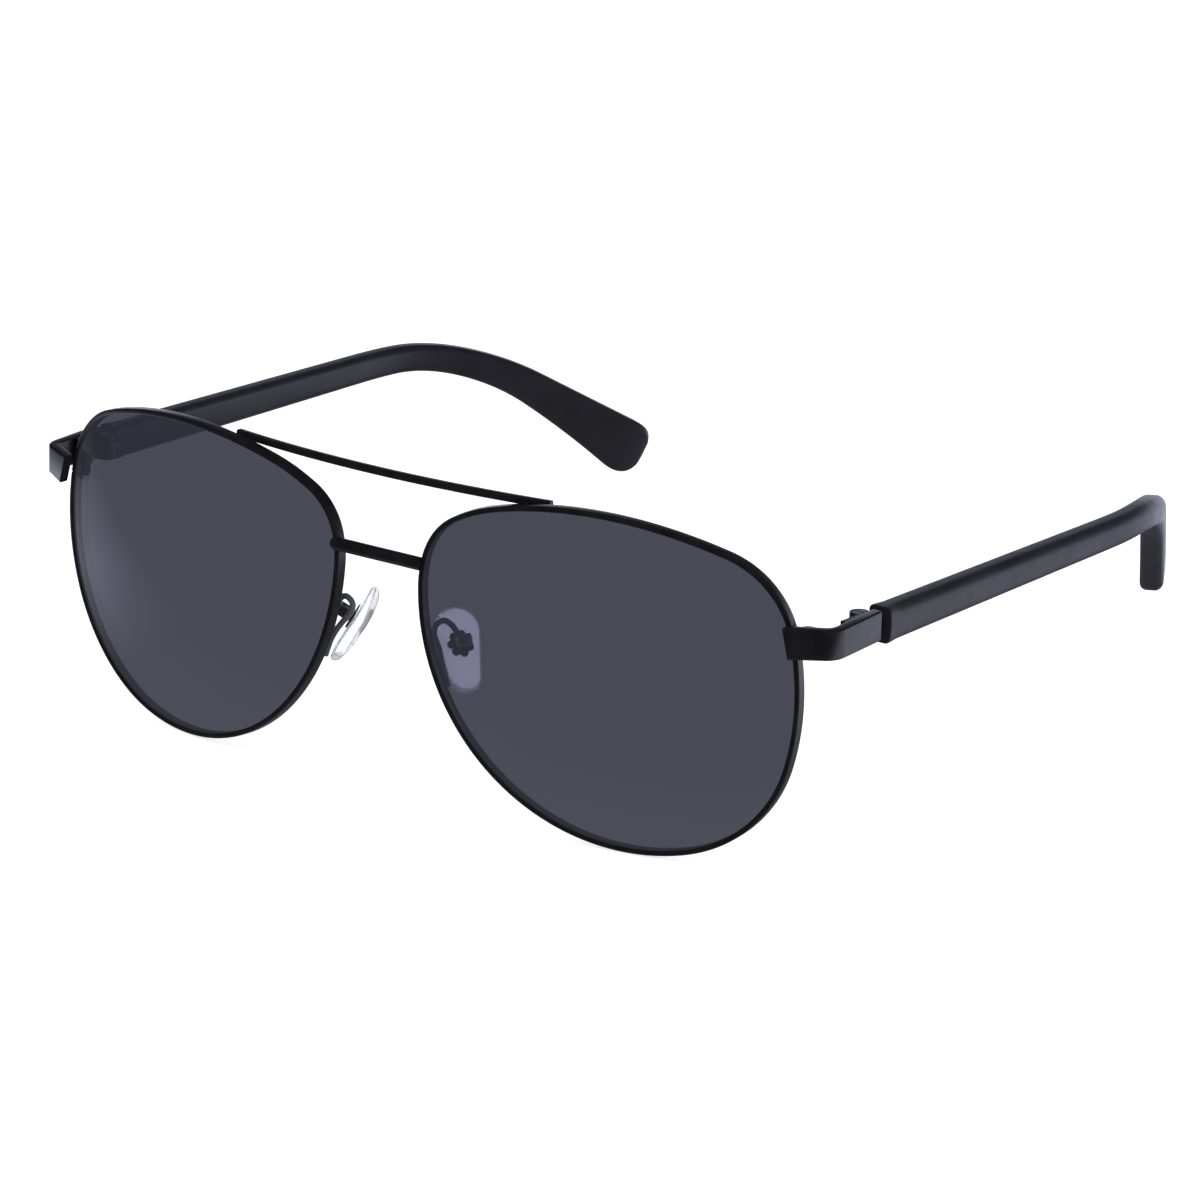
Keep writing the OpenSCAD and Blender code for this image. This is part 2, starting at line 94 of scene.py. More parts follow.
PAD_AT, PAD_TURN = Vector((9.9, 7.0, -14.4)), (31, 0, -120)
PAD_H, PAD_W, PAD_T = 12.6, 7.2, 2.0
PIVOT_Y, PIVOT_Z = 2.35, 0.7
PAD_FACE, PAD_BACK = 1.5, 0.9
INSERT_T, INSERT_R, LOBE_R, LOBES = 0.7, 2.05, 0.55, 7
LUG_W, LUG_R, FLOOR_LIFT = 1.1, 0.75, 3.15
BOX_W, BOX_H, BOX_D, BOX_LIFT = 1.8, 1.7, 2.1, 0.4
WIRE_D = 0.9
ARM_PATH = ((11.6, 2.25, -18.6), (10.4, 2.3, -15.6), (9.2, 2.9, -13.4), (7.9, 3.4, -11.7),
            (7.9, 3.9, -10.3), (9.2, 4.1, -9.5), (10.5, 4.35, -10.05), (11.6, 4.62, -11.28),
            (12.33, 5.6, -11.78))


# ---------------------------------------------------------------- mesh helpers
def add_mesh(name, points, faces, side=1, sharp=40):
    """A mesh object from points in millimetres, mirrored when side is -1, smooth up to sharp degrees."""
    mesh = bpy.data.meshes.new(name)
    mesh.from_pydata([(p[0] * side * MM, p[1] * MM, p[2] * MM) for p in points], [], faces)
    if side < 0:
        mesh.flip_normals()
    mesh.shade_smooth()
    mesh.set_sharp_from_angle(angle=math.radians(sharp))
    obj = bpy.data.objects.new(name, mesh)
    bpy.context.scene.collection.objects.link(obj)
    return obj


def tube_faces(rings, around, closed=False, caps=True):
    """Quads between rings of points; a ring runs anticlockwise seen from the far end of the path."""
    faces = []
    for i in range(rings if closed else rings - 1):
        for j in range(around):
            a, b = i * around + j, i * around + (j + 1) % around
            up = ((i + 1) % rings - i) * around
            faces.append((a, b, b + up, a + up))
    if caps and not closed:
        faces.append(tuple(range(around))[::-1])
        faces.append(tuple(range((rings - 1) * around, rings * around)))
    return faces


def closed_faces(rings, around):
    """Faces of a closed form: a first point, rings of points round it, and a last point."""
    faces = [(0, 1 + j, 1 + (j + 1) % around) for j in range(around)]
    for i in range(rings - 1):
        for j in range(around):
            a, b = 1 + i * around + j, 1 + i * around + (j + 1) % around
            faces.append((a, a + around, b + around, b))
    last = 1 + (rings - 1) * around
    return faces + [(last + (j + 1) % around, last + j, last + around) for j in range(around)]


def soften(obj, width, segments=3, angle=40):
    """Rounds the sharp edges of a piece by width millimetres."""
    bevel = obj.modifiers.new("soft_edges", "BEVEL")
    bevel.width = width * MM
    bevel.segments = segments
    bevel.limit_method = "ANGLE"
    bevel.angle_limit = math.radians(angle)
    bevel.harden_normals = True
    return obj


def fillet(corners, steps=5, fine=0):
    """A closed outline with its corners rounded; each corner is (x, y, radius)."""
    out = []
    for k, (x, y, r) in enumerate(corners):
        here = Vector((x, y))
        before = (Vector(corners[k - 1][:2]) - here).normalized()
        after = (Vector(corners[(k + 1) % len(corners)][:2]) - here).normalized()
        if r <= 0:
            out.append(here)
            continue
        half = before.angle(after) / 2
        centre = here + (before + after).normalized() * (r / math.sin(half))
        start = here + before * (r / math.tan(half)) - centre
        turn = start.angle_signed(here + after * (r / math.tan(half)) - centre)
        count = max(steps, round(fine * r))
        for i in range(count + 1):
            a = -turn * i / count
            out.append(centre + Vector((start.x * math.cos(a) - start.y * math.sin(a),
                                        start.x * math.sin(a) + start.y * math.cos(a))))
    return out


def box_outline(w, h, r, steps=5):
    """A rounded rectangle, w wide and h high, anticlockwise from its lower right corner."""
    return fillet([(w / 2, -h / 2, r), (w / 2, h / 2, r), (-w / 2, h / 2, r), (-w / 2, -h / 2, r)], steps)


def inset(outline, depth):
    """An anticlockwise outline moved inwards by depth."""
    out = []
    for k, here in enumerate(outline):
        before = (here - outline[k - 1]).normalized()
        after = (outline[(k + 1) % len(outline)] - here).normalized()
        middle = (before + after).normalized()
        inwards = Vector((-middle.y, middle.x))
        out.append(here + inwards * (depth / max(0.5, middle.dot(after))))
    return out


def slab(outline, low, high, radius, steps=4):
    """Rings and faces of an upright plate with this outline and rounded rims; low and high are
    the heights of its two faces at a point of the plan."""
    rings = []
    for face, order in ((low, range(steps + 1)), (high, range(steps, -1, -1))):
        inwards = 1 if face is low else -1
        for k in order:
            a = math.pi / 2 * k / steps
            plan = inset(outline, radius * (1 - math.sin(a)))
            rings.append([Vector((p.x, p.y, face(p) + inwards * radius * (1 - math.cos(a)))) for p in plan])
    return [p for ring in rings for p in ring], tube_faces(len(rings), len(outline))


def spline(points, t):
    """Catmull-Rom curve through the points, t from 0 to their number less one."""
    i = min(len(points) - 2, int(t))
    u = t - i
    a, b, c, d = (Vector(points[min(max(i + k, 0), len(points) - 1)]) for k in (-1, 0, 1, 2))
    return 0.5 * (2 * b + (c - a) * u + (2 * a - 5 * b + 4 * c - d) * u ** 2
                  + (3 * b - a - 3 * c + d) * u ** 3)


def wire(points, radius, steps, around=20, up=(0.6, -0.8, 0.1)):
    """Points and faces of a round wire along a spline."""
    count = steps * (len(points) - 1)
    pts = []
    for k in range(count + 1):
        t = k / steps
        after, before = min(t + 0.02, len(points) - 1), max(t - 0.02, 0)
        ahead = (spline(points, after) - spline(points, before)).normalized()
        n = ahead.cross(Vector(up)).normalized()
        b = ahead.cross(n)
        for j in range(around):
            a = 2 * math.pi * j / around
            pts.append(spline(points, t) + radius * (math.cos(a) * n + math.sin(a) * b))
    return pts, tube_faces(count + 1, around)


def smooth_step(u):
    u = min(1, max(0, u))
    return u * u * (3 - 2 * u)


# ---------------------------------------------------------------- materials
def new_material(name):
    mat = bpy.data.materials.new(name)
    mat.use_nodes = True
    tree = mat.node_tree
    return mat, tree.nodes, tree.links, tree.nodes["Principled BSDF"]


def noise(nodes, links, scale, detail=2.0, vector=None):
    node = nodes.new("ShaderNodeTexNoise")
    node.inputs["Scale"].default_value = scale
    node.inputs["Detail"].default_value = detail
    if vector is None:
        vector = nodes.new("ShaderNodeTexCoord").outputs["Object"]
    links.new(vector, node.inputs["Vector"])
    return node.outputs["Fac"]


def map_range(nodes, links, value, low, high, start=0.3, stop=0.7):
    node = nodes.new("ShaderNodeMapRange")
    links.new(value, node.inputs["Value"])
    for key, number in (("From Min", start), ("From Max", stop), ("To Min", low), ("To Max", high)):
        node.inputs[key].default_value = number
    return node.outputs["Result"]


def add_bump(nodes, links, height, bsdf, distance, strength=1.0):
    bump = nodes.new("ShaderNodeBump")
    bump.inputs["Distance"].default_value = distance * MM
    bump.inputs["Strength"].default_value = strength
    links.new(height, bump.inputs["Height"])
    links.new(bump.outputs["Normal"], bsdf.inputs["Normal"])


def tinted_noise(nodes, links, bsdf, dark, light, scale):
    """Base colour that wanders slightly between two tones."""
    mix = nodes.new("ShaderNodeMix")
    mix.data_type = "RGBA"
    mix.inputs["A"].default_value = (*dark, 1)
    mix.inputs["B"].default_value = (*light, 1)
    links.new(map_range(nodes, links, noise(nodes, links, scale), 0, 1), mix.inputs["Factor"])
    links.new(mix.outputs["Result"], bsdf.inputs["Base Color"])


def lacquer():
    """Satin black lacquer over metal, with a faint sprayed texture."""
    mat, nodes, links, bsdf = new_material("satin_black_lacquer")
    tinted_noise(nodes, links, bsdf, (0.003, 0.003, 0.004), (0.006, 0.006, 0.008), 300)
    links.new(map_range(nodes, links, noise(nodes, links, 900), 0.26, 0.34), bsdf.inputs["Roughness"])
    bsdf.inputs["Specular IOR Level"].default_value = 0.45
    bsdf.inputs["Coat Weight"].default_value = 0.15
    bsdf.inputs["Coat Roughness"].default_value = 0.18
    add_bump(nodes, links, noise(nodes, links, 4500, 3), bsdf, 0.004, 0.6)
    return mat


def moulded_plastic():
    """Satin injection-moulded plastic with a very fine spark-eroded grain."""
    mat, nodes, links, bsdf = new_material("satin_black_plastic")
    tinted_noise(nodes, links, bsdf, (0.006, 0.006, 0.009), (0.009, 0.009, 0.013), 120)
    links.new(map_range(nodes, links, noise(nodes, links, 500), 0.33, 0.41), bsdf.inputs["Roughness"])
    bsdf.inputs["Specular IOR Level"].default_value = 0.4
    add_bump(nodes, links, noise(nodes, links, 6000, 3), bsdf, 0.005, 0.5)
    return mat


def plated_steel(name, tone, rough, metallic=1):
    """Dark plated steel with a very fine grain; a painted wire is less metallic."""
    mat, nodes, links, bsdf = new_material(name)
    tinted_noise(nodes, links, bsdf, [t * 0.8 for t in tone], tone, 400)
    bsdf.inputs["Metallic"].default_value = metallic
    links.new(map_range(nodes, links, noise(nodes, links, 1500), rough - 0.05, rough + 0.07),
              bsdf.inputs["Roughness"])
    add_bump(nodes, links, noise(nodes, links, 7000, 3), bsdf, 0.003, 0.5)
    return mat


def lens_tint():
    """Polished smoke-grey plastic: each face passes a little under half of the light, mirrors some
    of it, more so at a slant, and has a faint even painted glow, an emission that lightens the lens."""
    mat, nodes, links, bsdf = new_material("smoke_grey_lens")
    nodes.remove(bsdf)
    clear = nodes.new("ShaderNodeBsdfTransparent")
    depth = nodes.new("ShaderNodeMix")
    depth.data_type = "RGBA"
    depth.inputs["A"].default_value = (0.445, 0.445, 0.525, 1)
    depth.inputs["B"].default_value = (0.45, 0.45, 0.53, 1)
    links.new(map_range(nodes, links, noise(nodes, links, 20), 0, 1), depth.inputs["Factor"])
    links.new(depth.outputs["Result"], clear.inputs["Color"])
    shine = nodes.new("ShaderNodeBsdfGlossy")
    shine.inputs["Roughness"].default_value = 0.02
    facing = nodes.new("ShaderNodeLayerWeight")
    fifth = nodes.new("ShaderNodeMath")
    fifth.operation = "POWER"
    fifth.inputs[1].default_value = 5
    links.new(facing.outputs["Facing"], fifth.inputs[0])
    share = map_range(nodes, links, fifth.outputs["Value"], 0.04, 0.25, 0, 1)
    mix = nodes.new("ShaderNodeMixShader")
    # painted glow: a faint even emission that lightens the lens wherever it is seen
    painted_glow = nodes.new("ShaderNodeEmission")
    painted_glow.inputs["Color"].default_value = (0.8, 0.8, 1, 1)
    painted_glow.inputs["Strength"].default_value = 0.022
    body = nodes.new("ShaderNodeAddShader")
    links.new(clear.outputs["BSDF"], body.inputs[0])
    links.new(painted_glow.outputs["Emission"], body.inputs[1])
    links.new(share, mix.inputs["Fac"])
    links.new(body.outputs["Shader"], mix.inputs[1])
    links.new(shine.outputs["BSDF"], mix.inputs[2])
    links.new(mix.outputs["Shader"], nodes["Material Output"].inputs["Surface"])
    return mat


def silicone():
    """Clear soft silicone: mostly glassy, slightly milky inside."""
    mat, nodes, links, bsdf = new_material("clear_silicone")
    bsdf.inputs["Base Color"].default_value = (0.93, 0.94, 0.98, 1)
    bsdf.inputs["Transmission Weight"].default_value = 0.8
    bsdf.inputs["IOR"].default_value = 1.41
    links.new(map_range(nodes, links, noise(nodes, links, 250), 0.08, 0.18), bsdf.inputs["Roughness"])
    return mat


def drawn_wire():
    """Bare drawn wire, for the cores inside the temples."""
    mat, nodes, links, bsdf = new_material("drawn_core_wire")
    tinted_noise(nodes, links, bsdf, (0.30, 0.30, 0.31), (0.40, 0.40, 0.42), 200)
    bsdf.inputs["Metallic"].default_value = 1
    bsdf.inputs["Roughness"].default_value = 0.4
    return mat


MATERIALS = {
    "black_metal": lacquer(),
    "tinted_lens": lens_tint(),
    "screw_steel": plated_steel("dark_plated_screw", (0.35, 0.35, 0.37), 0.3),
    "hinge_steel": plated_steel("black_plated_hinge", (0.09, 0.09, 0.10), 0.34),
    "core_wire": drawn_wire(),
    "temple_plastic": moulded_plastic(),
    "clear_silicone": silicone(),
    "pad_insert": plated_steel("dark_insert", (0.09, 0.12, 0.12), 0.4),
    "arm_wire": plated_steel("dark_arm_wire", (0.07, 0.075, 0.085), 0.35, 0.3),
}
SLOT_OF = {part["node"]: part["material_slot"] for part in frame["record"]["subparts"]}


def dress(obj, node, body, finish=None):
    """Finishes a piece that stands for a CAD node, in its slot's material unless finish names one."""
    obj.data.materials.clear()
    obj.data.materials.append(MATERIALS[finish or SLOT_OF[node]])
    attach(obj, body)
    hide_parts(node)
    return obj


def dress_cad(node, width=0.0):
    """Keeps a CAD node, welds its faces together, softens its edges and paints it."""
    obj = frame["nodes"][node]
    obj.data.materials.clear()
    obj.data.materials.append(MATERIALS[SLOT_OF[node]])
    if width:
        weld = obj.modifiers.new("weld", "WELD")
        weld.merge_threshold = 0.002 * MM
        soften(obj, width, 2, 35)
    return obj


# ---------------------------------------------------------------- lens outline
def unit(a):
    return Vector((math.cos(math.radians(a)), math.sin(math.radians(a))))


def arc_chain():
    """(start angle, start point, radius) of each arc; two radii are solved so that the chain closes."""
    starts = [ARC_FROM + sum(ARC_SWEEP[:k]) for k in range(len(ARC_SWEEP) + 1)]
    turns = [unit(starts[k + 1]) - unit(starts[k]) for k in range(len(ARC_SWEEP))]
    rest = -sum((turns[k] * ARC_GIVEN[k] for k in range(len(turns))), Vector((0, 0)))
    det = turns[TOP_ARC].cross(turns[SIDE_ARC])
    radii = list(ARC_GIVEN)
    radii[TOP_ARC] = rest.cross(turns[SIDE_ARC]) / det
    radii[SIDE_ARC] = turns[TOP_ARC].cross(rest) / det
    point = Vector(ARC_START)
    chain = []
    for start, turn, radius in zip(starts, turns, radii):
        chain.append((start, point.copy(), radius))
        point += radius * turn
    return chain


CHAIN = arc_chain()


def edge(a, out=0.0):
    """Point of the rim's middle line that faces direction a, in the lens plane, moved out by out."""
    a = (a - ARC_FROM) % 360 + ARC_FROM
    start, point, radius = [arc for arc in CHAIN if arc[0] <= a + 1e-9][-1]
    return point + radius * (unit(a) - unit(start)) + out * unit(a)


def sag(r, radius=LENS_CURVE):
    return radius - math.sqrt(radius * radius - r * r)


LENS_PLACE = (Matrix.Translation((LENS_X, LENS_Y, -LENS_DROP))
              @ Matrix.Rotation(WRAP, 4, "Z") @ Matrix.Rotation(LEAN, 4, "X"))


def on_face(p, y):
    """A point of the lens plane and a depth, in the CAD frame."""
    return LENS_PLACE @ Vector((p.x, y, p.y))


# ---------------------------------------------------------------- rims and lenses
def rim_profile():
    """Section of the rim wire as (outwards, backwards), with the groove for the lens."""
    w, d, g = RIM_W / 2, RIM_D / 2, LENS_T / 2 + GROOVE_PLAY
    return fillet([(w, -d, 0.26), (w, d, 0.26), (-w, d, 0.1), (-w, g, 0.04), (GROOVE - w, g, 0),
                   (GROOVE - w, -g, 0), (-w, -g, 0.04), (-w, -d, 0.12)], 5)


def build_rim(side_name, side, steps=288):
    profile = rim_profile()
    points = []
    for i in range(steps + 1):
        a = SPLIT_A + SPLIT_GAP + i * (360 - 2 * SPLIT_GAP) / steps
        depth = sag(edge(a, (GROOVE - RIM_W) / 2).length)
        points += [on_face(edge(a, s.x), depth + s.y) for s in profile]
    rim = add_mesh(f"rim_{side_name}_wire", points, tube_faces(steps + 1, len(profile)), side, 50)
    return dress(rim, f"rim_{side_name}", "front")


def build_lens(side_name, side, around=240, rings=26):
    """A shell between two spheres: rings from the middle of the front, over the edge, to the back."""
    middle = Vector((2, -4))
    fit = -RIM_W / 2 + GROOVE - LENS_PLAY

    def face_point(p, face):
        """The point of the front (-1) or back (1) face, or between them, over p of the lens plane."""
        radius = LENS_CURVE - face * LENS_T / 2
        return on_face(p, LENS_CURVE - math.sqrt(radius * radius - p.length_squared))

    angles = [360 * j / around for j in range(around)]
    inner = [(k / rings, 0) for k in range(1, rings)]
    levels = [(share, out, -1) for share, out in inner]
    levels += [(1, -0.14, -1), (1, 0, -0.55), (1, 0, 0.55), (1, -0.14, 1)]
    levels += [(share, out, 1) for share, out in reversed(inner)]
    points = [face_point(middle, -1)]
    for share, out, face in levels:
        points += [face_point(middle + share * (edge(a, fit + out) - middle), face) for a in angles]
    points.append(face_point(middle, 1))
    lens = add_mesh(f"lens_{side_name}_shell", points, closed_faces(len(levels), around), side, 30)
    return dress(lens, f"lens_{side_name}", "front")


# ---------------------------------------------------------------- bars across the front
def rim_x(y, z, out, low, high):
    """How far from the mirror plane a line at (y, z) meets a rim, moved out by out. The outline is
    searched from direction low to direction high, over which it climbs."""
    back = LENS_PLACE.inverted()
    x = LENS_X
    for _ in range(6):
        p = back @ Vector((x, y, z))
        start, stop = low, high
        for _ in range(30):
            a = (start + stop) / 2
            start, stop = (start, a) if edge(a, out).y > p.z else (a, stop)
        x += edge(a, out).x - p.x
    return x


def build_bridge(steps=40, around=48):
    """A round bar whose ends butt against the rims and lap over their fronts."""
    lines = []
    for j in range(around):
        a = 2 * math.pi * j / around
        y, z = BRIDGE_R * math.cos(a), BRIDGE_R * math.sin(a)
        lap = smooth_step((-y - 0.3) / 0.4)
        lines.append((y, z, rim_x(y, BRIDGE_Z + z, BRIDGE_SHORT - BRIDGE_LAP * lap, 230, 120)))
    points = []
    for i in range(steps + 1):
        u = 2 * i / steps - 1
        for y, z, reach in lines:
            points.append(Vector((u * reach, y, BRIDGE_Z + z)))
    bar = add_mesh("bridge_bar", points, tube_faces(steps + 1, around))
    return dress(soften(bar, 0.16), "bridge", "front")


def build_brow_bar(steps=80):
    """A square bar with rounded edges that bows forward between the rims."""
    radius = (BROW_HALF ** 2 + BROW_BOW ** 2) / (2 * BROW_BOW)
    reach = math.asin(BROW_HALF / radius)
    profile = box_outline(BROW_D, BROW_D, 0.3)
    points = []
    for i in range(steps + 1):
        a = reach * (1 - 2 * i / steps)
        out = Vector((math.sin(a), -math.cos(a), 0))
        centre = Vector((0, BROW_Y - BROW_BOW + radius, BROW_Z)) + radius * out
        points += [centre + out * p.x + Vector((0, 0, p.y)) for p in profile]
    bar = add_mesh("brow_bar_rod", points, tube_faces(steps + 1, len(profile)))
    return dress(soften(bar, 0.14), "brow_bar", "front")


# ---------------------------------------------------------------- end pieces
def build_endpiece(side_name, side):
    """A thick plate that leaves the rim, turns back round a soft bend and rises a little."""
    leave = Vector((math.cos(END_OUT_A), math.sin(END_OUT_A)))
    across = Vector((-leave.y, leave.x))
    front = Vector((END_X, END_Y))
    slope = math.tan(END_OUT_A)
    inner_x = HALF_W - END_T
    behind = front + END_T * across
    plan = fillet([(*front, 0), (HALF_W, END_Y + (HALF_W - END_X) * slope, BEND_OUT),
                   (HALF_W, END_BACK, 0.35), (inner_x, END_BACK, 0.35),
                   (inner_x, behind.y + (inner_x - behind.x) * slope, BEND_OUT - END_T), (*behind, 0)], 4, 8)

    def middle(p):
        return END_Z + END_RISE * (p.y - END_Y) / (END_BACK - END_Y)

    points, faces = slab(plan, lambda p: middle(p) - END_H / 2, lambda p: middle(p) + END_H / 2, END_EDGE)
    for p in points:
        if p.y < END_Y + 3 and p.x < END_X + 1:
            p.x = rim_x(p.y, p.z, END_INTO_RIM, -60, 60)
    plate = add_mesh(f"endpiece_{side_name}_plate", points, faces, side, 50)
    return dress(plate, f"endpiece_{side_name}", "front")


# ---------------------------------------------------------------- temples
def temple_path(steps):
    """(distance, point on the outer top edge, side, up) at equal steps along the temple."""
    def yaw(s):
        return TOE_IN + (HUG_A - TOE_IN) * smooth_step((s - HUG_FROM) / HUG_RUN)

    def drop(s):
        return DROP_A * min(1, max(0, (s - DROP_FROM) / (DROP_R * DROP_A)))

    def ahead(s):
        return Vector((-math.sin(yaw(s)) * math.cos(drop(s)), math.cos(yaw(s)) * math.cos(drop(s)),
                       -math.sin(drop(s))))

    step = TEMPLE_LEN / steps
    point = Vector((TEMPLE_X, TEMPLE_Y, TEMPLE_TOP))
    out = []
    for i in range(steps + 1):
        s = i * step
        side = Vector((math.cos(yaw(s)), math.sin(yaw(s)), 0))
        out.append((s, point.copy(), side, side.cross(ahead(s))))
        point += ahead(s + step / 2) * step
    return out


def temple_height(s):
    if s < DROP_FROM:
        return TEMPLE_H + (WAIST_H - TEMPLE_H) * s / DROP_FROM
    return WAIST_H + (PADDLE_H - WAIST_H) * ((s - DROP_FROM) / (TEMPLE_LEN - DROP_FROM)) ** FLARE


def build_temple(side_name, side, steps=248):
    """A bar with rounded long edges; its end is squarer above and rounder below."""
    path = temple_path(steps)
    points = []
    for s, top, out, up in path:
        h = temple_height(s)
        u = min(0.9999, max(0, (s - TEMPLE_LEN + TEMPLE_TIP) / TEMPLE_TIP))
        high, low, thin = (1 - u ** 4) ** (1 / 3), (1 - u ** 1.9) ** 0.5, (1 - u ** 4) ** 0.5
        t = TEMPLE_T * (0.25 + 0.75 * thin)
        upper, lower = h / 2 * high, h / 2 * low
        soft = 0.9 + 0.5 * smooth_step(s / 3)
        round_out, round_in = (min(r, (upper + lower) * 0.42, t * 0.42) for r in (soft, soft * 0.8))
        middle = top - up * h / 2 - out * TEMPLE_T / 2
        face = [(t / 2, -lower + (upper + lower) * k / 6, 0) for k in range(2, 5)]
        profile = fillet([(t / 2, -lower, round_out), *face, (t / 2, upper, round_out),
                          (-t / 2, upper, round_in), (-t / 2, -lower, round_in)], 8)
        crown = [max(0, p.x) / t * 0.5 * (2 * p.y / h) ** 2 for p in profile]
        points += [middle + out * (p.x - c) + up * p.y for p, c in zip(profile, crown)]
    faces = [f[::-1] for f in tube_faces(len(path), len(profile))]
    temple = add_mesh(f"temple_{side_name}_arm", points, faces, side)
    return dress(soften(temple, 0.22, 3, 60), f"temple_{side_name}", f"temple_{side_name}")


# ---------------------------------------------------------------- nose pads
PAD_PLACE = (Matrix.Translation(PAD_AT) @ Matrix.Rotation(math.radians(PAD_TURN[2]), 4, "Z")
             @ Matrix.Rotation(math.radians(PAD_TURN[0]), 4, "X"))


def pad_outline(around):
    """Outline of a pad in its own (across, along) plane: a wide round end over a narrower one."""
    top_r = PAD_W / 2
    low_r = top_r * 0.72
    top_z, low_z = PAD_H / 2 - top_r, low_r - PAD_H / 2
    slope = math.asin((top_r - low_r) / (top_z - low_z))
    out = []
    half = around // 2
    for k in range(half):
        a = -slope + (math.pi + 2 * slope) * k / (half - 1)
        out.append(Vector((top_r * math.cos(a), top_z + top_r * math.sin(a))))
    for k in range(half):
        a = math.pi + slope + (math.pi - 2 * slope) * k / (half - 1)
        out.append(Vector((low_r * math.cos(a), low_z + low_r * math.sin(a))))
    return out


def build_pad(side_name, side, around=72, rings=16):
    """A crowned silicone pad whose ends curl gently towards its arm."""
    outline = pad_outline(around)

    def at(p, y):
        u = p.y / (PAD_H / 2)
        curl = (0.55 if u > 0 else 0.1) * u * u - 0.15
        return PAD_PLACE @ Vector((p.x, y + curl, p.y - 0.35 * min(0, u) ** 2))

    levels = [math.pi / 2 * k / rings for k in range(1, rings + 1)]
    shape = [(math.sin(a), -math.cos(a)) for a in levels]
    shape += [(math.sin(a), math.cos(a)) for a in levels[-2::-1]]
    points = [at(Vector((0, 0)), -PAD_FACE)]
    for radial, height in shape:
        y = math.copysign(abs(height) ** 0.7, height) * (PAD_FACE if height < 0 else PAD_BACK)
        points += [at(p * abs(radial) ** 0.75, y) for p in outline]
    points.append(at(Vector((0, 0)), PAD_BACK))
    pad = add_mesh(f"nose_pad_{side_name}_silicone", points, closed_faces(len(shape), around), side, 80)
    return dress(pad, f"nose_pad_{side_name}", f"nose_pad_{side_name}")


def build_insert(side_name, side, around=168):
    """A scalloped disc moulded into the pad, and the lug that its arm holds."""
    body = f"nose_pad_{side_name}"
    disc = []
    for k in range(around):
        a = 2 * math.pi * k / around
        r = INSERT_R - LOBE_R + LOBE_R * abs(math.cos(a * LOBES / 2)) ** 0.8
        disc.append(Vector((r * math.cos(a), r * math.sin(a))))
    points, faces = slab(disc, lambda p: PAD_T / 2 - INSERT_T, lambda p: PAD_T / 2, 0.12, 3)
    points = [PAD_PLACE @ Vector((p.x, p.z, PIVOT_Z - p.y)) for p in points]
    piece = add_mesh(f"pad_insert_{side_name}_disc", points, faces, side, 50)
    dress(piece, f"pad_insert_{side_name}", body)
    tab = fillet([(PAD_T / 2 - 0.1, PIVOT_Z - LUG_R, 0), (PIVOT_Y + LUG_R, PIVOT_Z - LUG_R, 0.7),
                  (PIVOT_Y + LUG_R, PIVOT_Z + LUG_R, 0.7), (PAD_T / 2 - 0.1, PIVOT_Z + LUG_R, 0)], 8)
    points, faces = slab(tab, lambda p: -LUG_W / 2, lambda p: LUG_W / 2, 0.1, 3)
    points = [PAD_PLACE @ Vector((p.z, p.x, p.y)) for p in points]
    piece = add_mesh(f"pad_insert_{side_name}_lug", points, faces, side, 50)
    return dress(piece, f"pad_insert_{side_name}", body)


def build_pad_arm(side_name, side):
    """The looped wire and the open box that holds the pad's lug."""
    points, faces = wire(ARM_PATH, WIRE_D / 2, 12)
    arm = add_mesh(f"pad_arm_{side_name}_wire", points, faces, side)
    dress(soften(arm, 0.12), f"pad_arm_{side_name}", "front", "arm_wire")
    near, far, slot = PAD_T / 2 + BOX_LIFT, PAD_T / 2 + BOX_LIFT + BOX_D, LUG_W / 2 + 0.05
    trough = fillet([(-BOX_W / 2, near, 0.12), (-slot, near, 0.12), (-slot, FLOOR_LIFT, 0.15),
                     (slot, FLOOR_LIFT, 0.15), (slot, near, 0.12), (BOX_W / 2, near, 0.12),
                     (BOX_W / 2, far, 0.4), (-BOX_W / 2, far, 0.4)], 5)
    points, faces = slab(trough, lambda p: PIVOT_Z - BOX_H / 2, lambda p: PIVOT_Z + BOX_H / 2, 0.1, 3)
    box = add_mesh(f"pad_arm_{side_name}_box", [PAD_PLACE @ p for p in points], faces, side, 50)
    return dress(box, f"pad_arm_{side_name}", "front", "arm_wire")


# ---------------------------------------------------------------- assembly
for side_name, side in SIDES:
    build_rim(side_name, side)
    build_lens(side_name, side)
    build_endpiece(side_name, side)
    build_temple(side_name, side)
    build_pad(side_name, side)
    build_insert(side_name, side)
    build_pad_arm(side_name, side)
    for node in ("closing_block_upper", "closing_block_lower", "hinge_front", "hinge_temple"):
        dress_cad(f"{node}_{side_name}", 0.12)
    for node in ("closing_screw", "hinge_screw", "pad_screw"):
        dress_cad(f"{node}_{side_name}", 0.06)
    dress_cad(f"temple_core_{side_name}")
build_bridge()
build_brow_bar()


# ---------------------------------------------------------------- stage, light and camera
def compare(nodes, links, value, operation, number):
    node = nodes.new("ShaderNodeMath")
    node.operation = operation
    links.new(value, node.inputs[0])
    if isinstance(number, float):
        node.inputs[1].default_value = number
    else:
        links.new(number, node.inputs[1])
    return node.outputs["Value"]


def pick(nodes, links, share, first, second):
    """Colour first where share is 0 and second where it is 1; each is a colour or a socket."""
    node = nodes.new("ShaderNodeMix")
    node.data_type = "RGBA"
    links.new(share, node.inputs["Factor"])
    for key, tone in (("A", first), ("B", second)):
        if isinstance(tone, tuple):
            node.inputs[key].default_value = (*tone, 1)
        else:
            links.new(tone, node.inputs[key])
    return node.outputs["Result"]


def seen_through(nodes, links, rays):
    """1 for a camera ray that has come straight through a lens."""
    through = compare(nodes, links, rays.outputs["Transparent Depth"], "GREATER_THAN", 0.5)
    direct = compare(nodes, links, rays.outputs["Ray Depth"], "LESS_THAN", 0.5)
    return compare(nodes, links, through, "MULTIPLY", direct)


